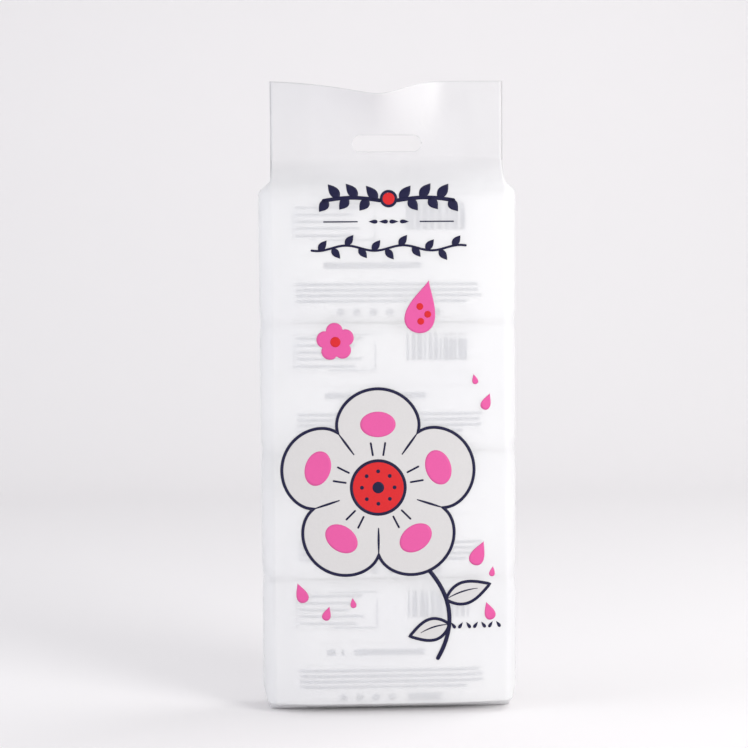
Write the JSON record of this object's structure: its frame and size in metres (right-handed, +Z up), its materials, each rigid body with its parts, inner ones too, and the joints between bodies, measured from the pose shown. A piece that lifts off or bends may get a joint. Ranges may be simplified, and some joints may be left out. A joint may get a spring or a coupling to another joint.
{
  "type": "wet wipes multipack",
  "caption": "Upright gusseted film bag with a flat header and hanging slot, holding sealed pocket packs of wet wipes stacked in two columns.",
  "frame": {"origin": "middle of the base, on the surface the pack stands on", "axes": "+Z up the pack to the header, -Y out of the printed front, +X to the right seen from the front"},
  "size_m": [0.1496, 0.043, 0.3668],
  "materials": {
    "bag_film": "matte milky polyethylene film, half see-through",
    "pack_film": "white printed laminate film with a soft shine",
    "label_film": "white adhesive polypropylene label"
  },
  "bodies": {
    "root": {"outer_bag": "bag_film", "mini_pack_front_1": "pack_film", "mini_pack_front_2": "pack_film", "mini_pack_front_3": "pack_film", "mini_pack_front_4": "pack_film", "mini_pack_back_1": "pack_film", "mini_pack_back_2": "pack_film", "mini_pack_back_3": "pack_film", "mini_pack_back_4": "pack_film", "reseal_label_front_1": "label_film", "reseal_label_front_2": "label_film", "reseal_label_front_3": "label_film", "reseal_label_front_4": "label_film", "reseal_label_back_1": "label_film", "reseal_label_back_2": "label_film", "reseal_label_back_3": "label_film", "reseal_label_back_4": "label_film"}
  },
  "joints": []
}
